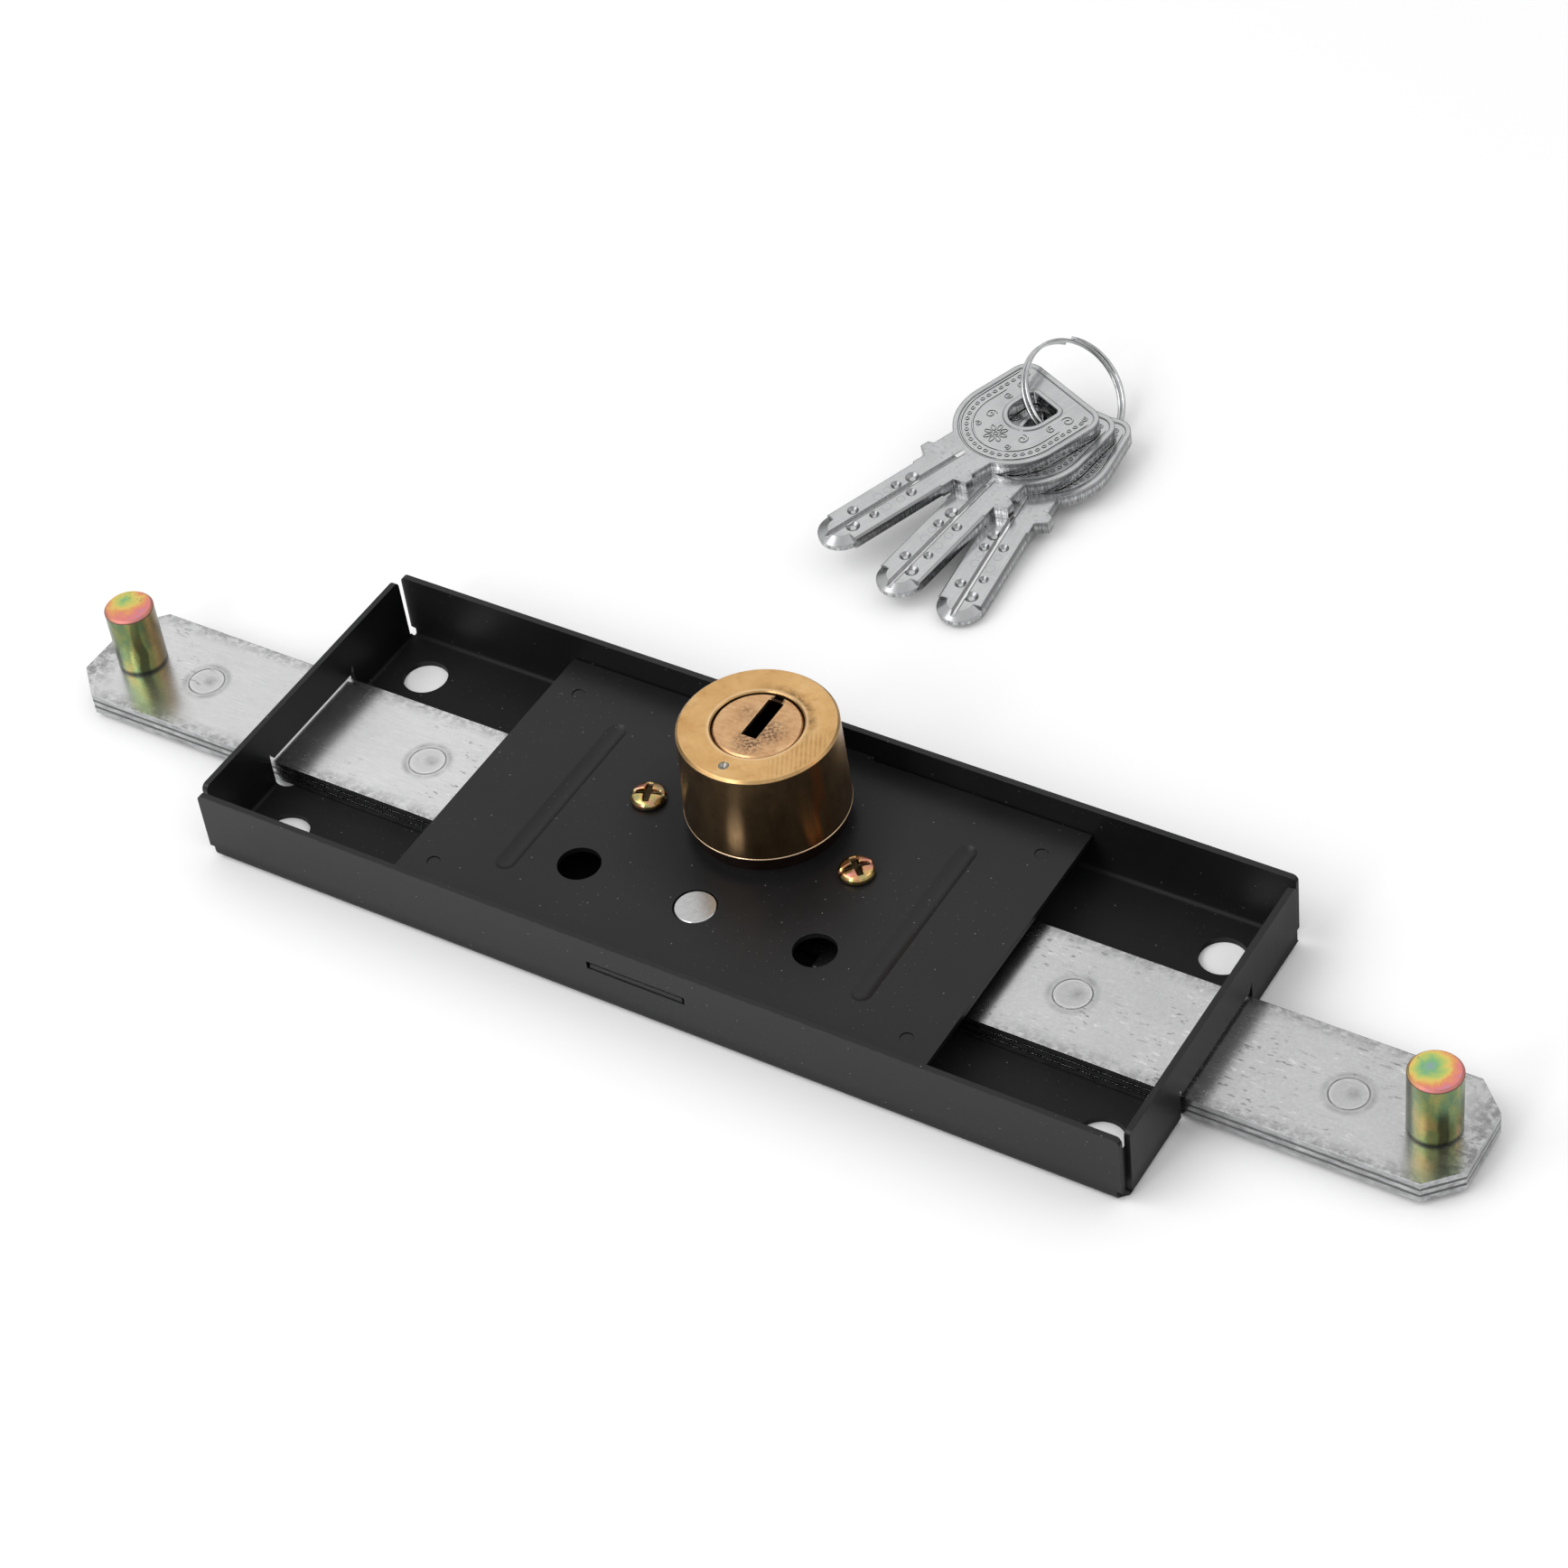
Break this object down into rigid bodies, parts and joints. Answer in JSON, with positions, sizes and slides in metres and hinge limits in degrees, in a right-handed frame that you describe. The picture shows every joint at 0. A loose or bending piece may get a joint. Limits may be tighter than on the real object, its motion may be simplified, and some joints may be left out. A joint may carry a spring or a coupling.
{
  "type": "roller shutter lock",
  "caption": "Shallow black steel case whose brass key cylinder throws laminated bolts with locking pins out of both ends; dimple keys lie beside it on a split ring.",
  "frame": {"origin": "centre of the outer back face of the case", "axes": "+X along the bolts, out of the right end; +Y towards the long wall beside the cylinder; +Z along the cylinder's axis, towards the keyway's mouth"},
  "size_m": [0.302, 0.1946, 0.0335],
  "materials": {
    "black_coat": "satin black coat on folded sheet steel",
    "zinc_plate": "galvanised strip with fine scratches and dull blotches",
    "yellow_zinc": "iridescent yellow passivated zinc",
    "brass_cap": "turned brass, worn on top, satin round the side",
    "brass_core": "dull dark brass",
    "brass_plug": "brass with a coppery cast and fine specks",
    "brass_pins": "turned brass",
    "bright_steel": "bright steel",
    "inner_steel": "plain pressed steel",
    "nickel": "bright nickel plate with fine scratches"
  },
  "bodies": {
    "lock_body": {"case": "black_coat", "cover_plate": "black_coat", "spacer_posts": "black_coat", "guide_post": "zinc_plate", "cylinder_yoke": "inner_steel", "cylinder_screws": "yellow_zinc", "cylinder_core": "brass_core", "cylinder_cap": "brass_cap", "anti_drill_pin": "bright_steel", "driver_pins": "brass_pins", "pin_springs": "bright_steel"},
    "plug_and_crank": {"plug": "brass_plug", "key_pins": "brass_pins", "retaining_clip": "inner_steel", "crank": "inner_steel", "crank_studs": "inner_steel"},
    "right_bolt": {"right_top_strip": "zinc_plate", "right_drive_strip": "zinc_plate", "right_bottom_strip": "zinc_plate", "right_rivets": "zinc_plate", "right_locking_pin": "yellow_zinc"},
    "left_bolt": {"left_top_strip": "zinc_plate", "left_drive_strip": "zinc_plate", "left_bottom_strip": "zinc_plate", "left_rivets": "zinc_plate", "left_locking_pin": "yellow_zinc"},
    "ring": {"split_ring": "nickel"},
    "top_key": {"key_1": "nickel"},
    "middle_key": {"key_2": "nickel"},
    "bottom_key": {"key_3": "nickel"}
  },
  "joints": [
    {"name": "key_turn", "type": "hinge", "parent": "lock_body", "child": "plug_and_crank", "pos_m": [0, 0.013, 0.02], "axis": [0, 0, -1], "range_deg": [0, 90]},
    {"name": "right_bolt_slide", "type": "slide", "parent": "lock_body", "child": "right_bolt", "axis": [-1, 0, 0], "range_m": [0, 0.01838]},
    {"name": "left_bolt_slide", "type": "slide", "parent": "lock_body", "child": "left_bolt", "axis": [1, 0, 0], "range_m": [0, 0.01838]},
    {"name": "ring_lift", "type": "slide", "parent": "lock_body", "child": "ring", "axis": [0, 0, 1], "range_m": [0, 0.06]},
    {"name": "top_key_swing", "type": "hinge", "parent": "ring", "child": "top_key", "pos_m": [-0.00955, 0.1358, 0.01017], "axis": [0, -0.0738, 0.9973], "range_deg": [-12, 16]},
    {"name": "middle_key_swing", "type": "hinge", "parent": "ring", "child": "middle_key", "pos_m": [-0.0065, 0.13523, 0.00707], "axis": [0, -0.0738, 0.9973], "range_deg": [-16, 16]},
    {"name": "bottom_key_swing", "type": "hinge", "parent": "ring", "child": "bottom_key", "pos_m": [-0.00345, 0.13625, 0.00409], "axis": [0, -0.0738, 0.9973], "range_deg": [-16, 12]}
  ],
  "couplings": [
    {"joint": "key_turn", "follows": "right_bolt_slide", "rad_per_m": 85.4},
    {"joint": "left_bolt_slide", "follows": "right_bolt_slide", "ratio": 1}
  ]
}
